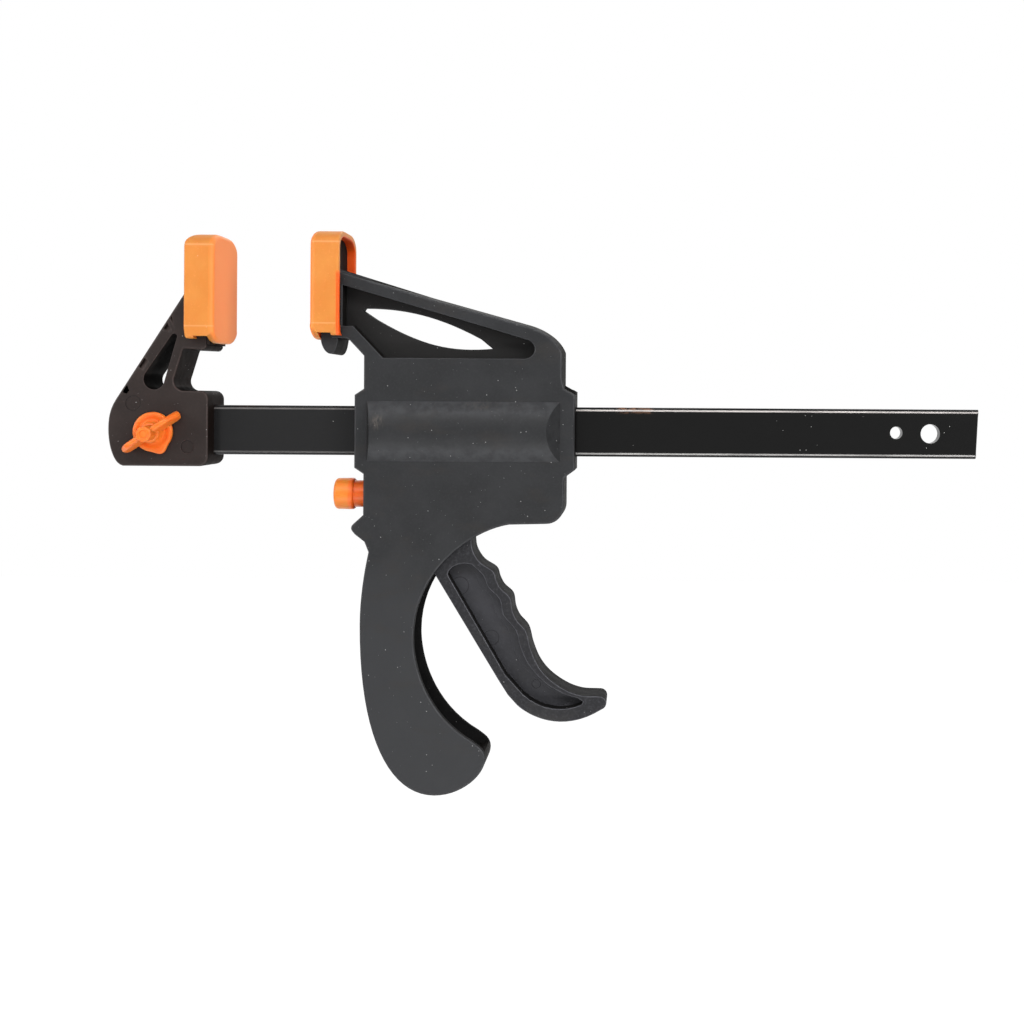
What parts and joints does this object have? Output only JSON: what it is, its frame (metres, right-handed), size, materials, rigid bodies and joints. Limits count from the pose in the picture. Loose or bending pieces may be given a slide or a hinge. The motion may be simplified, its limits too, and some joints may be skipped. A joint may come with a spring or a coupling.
{
  "type": "quick release bar clamp",
  "caption": "One-handed trigger clamp: a fixed jaw on a flat steel bar and a pistol grip housing that ratchets along it, with soft pads and a push-button release.",
  "frame": {"origin": "centre of the fixed jaw's clamping face", "axes": "+X along the bar from the fixed jaw towards the bar's free end, and out of the fixed clamping face; +Z from the bar towards the jaw tips; +Y across the clamp, from the wing bolt side to the screw side"},
  "size_m": [0.3145, 0.036, 0.203],
  "materials": {
    "bar_paint": "semi-gloss black paint with small scratches",
    "black_nylon": "fine-textured black glass-filled nylon",
    "pad_rubber": "soft matt light orange rubber",
    "orange_plastic": "satin deep orange plastic",
    "zinc_steel": "bright zinc plating",
    "plate_steel": "ground and oiled hardened steel",
    "spring_steel": "drawn spring wire"
  },
  "bodies": {
    "root": {"bar": "bar_paint", "fixed_jaw": "black_nylon", "fixed_jaw_pad": "pad_rubber", "jaw_nut": "zinc_steel"},
    "wing_bolt": {"wing_bolt_head": "orange_plastic", "wing_bolt_stud": "zinc_steel"},
    "housing": {"front_shell": "black_nylon", "rear_shell": "black_nylon", "shell_screws": "zinc_steel", "moving_jaw_pad": "pad_rubber", "trigger_pin": "zinc_steel", "drive_spring": "spring_steel", "brake_spring": "spring_steel"},
    "trigger": {"trigger": "black_nylon"},
    "drive_plates": {"drive_plate_1": "plate_steel", "drive_plate_2": "plate_steel", "drive_plate_3": "plate_steel", "spring_seat": "plate_steel"},
    "brake_plate": {"brake_plate": "plate_steel"},
    "release_button": {"release_button": "orange_plastic"}
  },
  "joints": [
    {"name": "wing_bolt_turn", "type": "hinge", "parent": "root", "child": "wing_bolt", "pos_m": [-0.0226, 0, -0.0516], "axis": [0, 1, 0], "continuous": true},
    {"name": "housing_slide", "type": "slide", "parent": "root", "child": "housing", "axis": [1, 0, 0], "range_m": [-0.0335, 0.1145]},
    {"name": "trigger_pivot", "type": "hinge", "parent": "housing", "child": "trigger", "pos_m": [0.0915, 0, -0.078], "axis": [0, 1, 0], "range_deg": [0, 34], "stiffness_Nm_per_rad": 0.25, "springref_deg": -14.32},
    {"name": "drive_slide", "type": "slide", "parent": "housing", "child": "drive_plates", "axis": [1, 0, 0], "range_m": [0, 0.0072], "deforming": ["drive_spring"]},
    {"name": "button_press", "type": "slide", "parent": "housing", "child": "release_button", "axis": [1, 0, 0], "range_m": [0, 0.004], "stiffness_N_per_m": 500, "springref_m": -0.003},
    {"name": "brake_tilt", "type": "hinge", "parent": "housing", "child": "brake_plate", "pos_m": [0.06305, 0, -0.0338], "axis": [0, -1, 0], "range_deg": [0, 5.7], "deforming": ["brake_spring"]}
  ],
  "couplings": [
    {"joint": "drive_slide", "follows": "trigger_pivot", "m_per_rad": 0.0118},
    {"joint": "brake_tilt", "follows": "button_press", "rad_per_m": 24.5}
  ]
}
